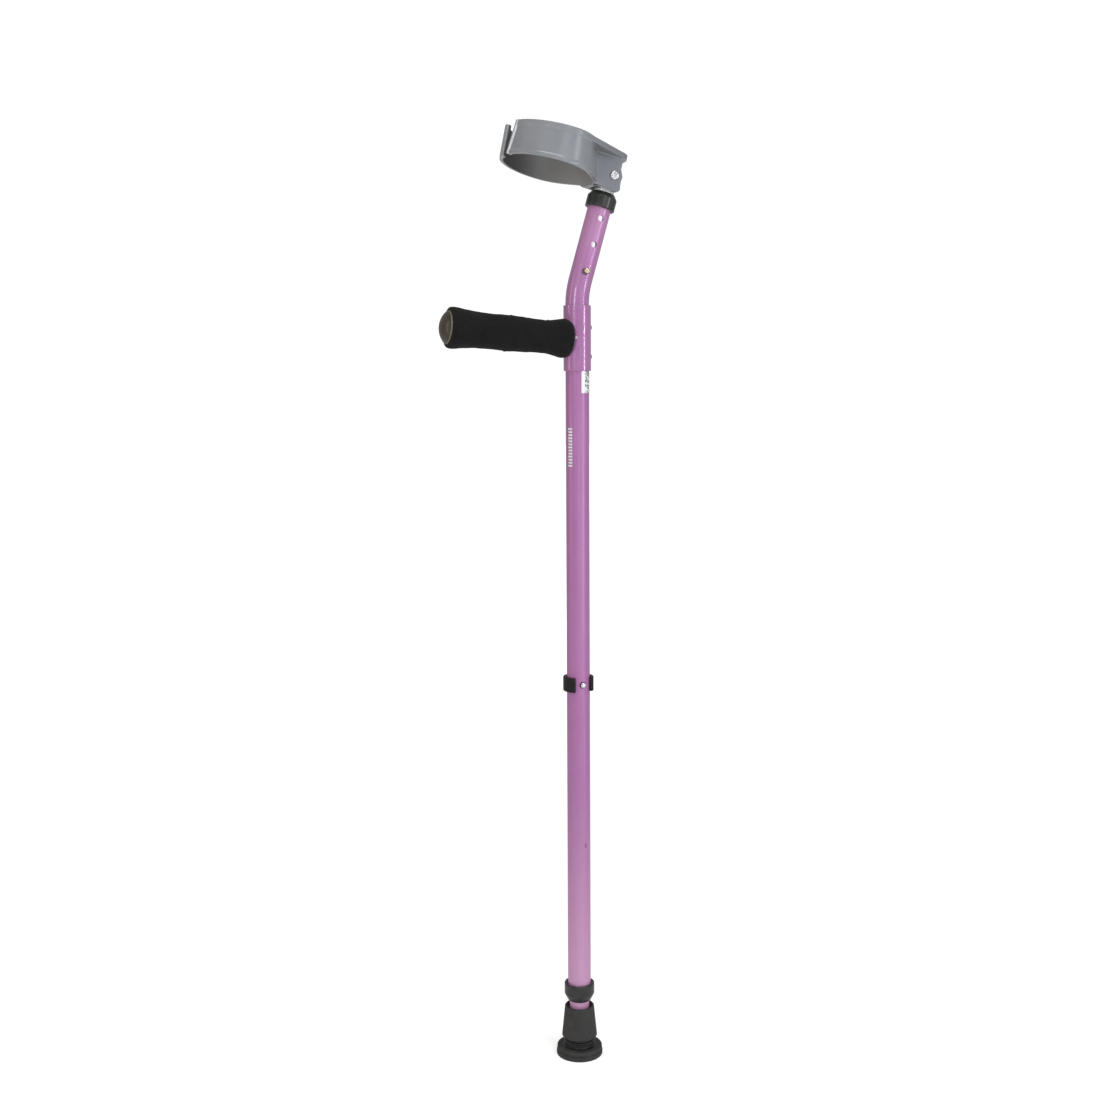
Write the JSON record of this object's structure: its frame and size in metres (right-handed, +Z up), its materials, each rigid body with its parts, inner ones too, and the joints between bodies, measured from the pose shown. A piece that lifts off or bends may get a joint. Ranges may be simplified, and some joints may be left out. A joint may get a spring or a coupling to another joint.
{
  "type": "forearm crutch",
  "caption": "Height-adjustable forearm crutch: rubber foot, telescoping bent tube, side hand grip with foam, snap-button post and an open tilting arm cuff.",
  "frame": {"origin": "centre of the ferrule's sole, on the floor, on the axis of the main tube", "axes": "+Z up the main tube, -X along the hand grip, +X the way the upper tube leans, -Y the side with the height holes and the snap button"},
  "size_m": [0.1817, 0.101, 0.8907],
  "materials": {
    "purple_enamel": "purple enamel on aluminium tube",
    "ferrule_rubber": "matte moulded rubber",
    "galvanised_steel": "dull zinc",
    "black_nylon": "satin moulded nylon",
    "clip_plastic": "satin moulded plastic",
    "bright_steel": "bright zinc",
    "rivet_aluminium": "plain aluminium",
    "foam_grip": "soft closed-cell foam with fine ribs",
    "end_cap_plastic": "glossy olive-brown plastic",
    "label_paper": "white label film",
    "anodised_aluminium": "satin anodised",
    "spring_steel": "blued spring steel",
    "button_brass": "polished brass",
    "cuff_plastic": "semi-gloss grey moulded plastic"
  },
  "bodies": {
    "leg": {"ferrule": "ferrule_rubber", "ferrule_washer": "galvanised_steel", "leg_tube": "purple_enamel", "leg_bush": "black_nylon"},
    "frame": {"main_tube": "purple_enamel", "lower_collar": "black_nylon", "upper_collar": "black_nylon", "handle_sleeve": "purple_enamel", "sleeve_rivets": "rivet_aluminium", "handle_tube": "purple_enamel", "hand_grip": "foam_grip", "grip_end_cap": "end_cap_plastic", "size_label": "label_paper"},
    "lock_clip": {"locking_clip": "clip_plastic", "clip_pin": "bright_steel"},
    "cuff_post": {"cuff_tube": "anodised_aluminium", "post_plug": "black_nylon", "button_spring": "spring_steel"},
    "cuff_button": {"snap_button": "button_brass"},
    "cuff": {"arm_cuff": "cuff_plastic", "pivot_bush": "black_nylon", "pivot_screw": "bright_steel", "pivot_nut": "bright_steel"}
  },
  "joints": [
    {"name": "leg_height", "type": "slide", "parent": "leg", "child": "frame", "axis": [0, 0, 1], "range_m": [0, 0.1524]},
    {"name": "clip_pull", "type": "slide", "parent": "frame", "child": "lock_clip", "axis": [0, 1, 0], "range_m": [0, 0.032], "deforming": ["locking_clip"]},
    {"name": "cuff_height", "type": "slide", "parent": "frame", "child": "cuff_post", "axis": [0.2807, 0, 0.9598], "range_m": [0, 0.0508], "deforming": ["snap_button", "button_spring"]},
    {"name": "button_press", "type": "slide", "parent": "cuff_post", "child": "cuff_button", "axis": [0, 1, 0], "range_m": [0, 0.0035], "stiffness_N_per_m": 800, "springref_m": -0.003},
    {"name": "cuff_tilt", "type": "hinge", "parent": "cuff_post", "child": "cuff", "pos_m": [0.03149, 0, 0.84499], "axis": [0, 1, 0], "range_deg": [0, 14]}
  ]
}
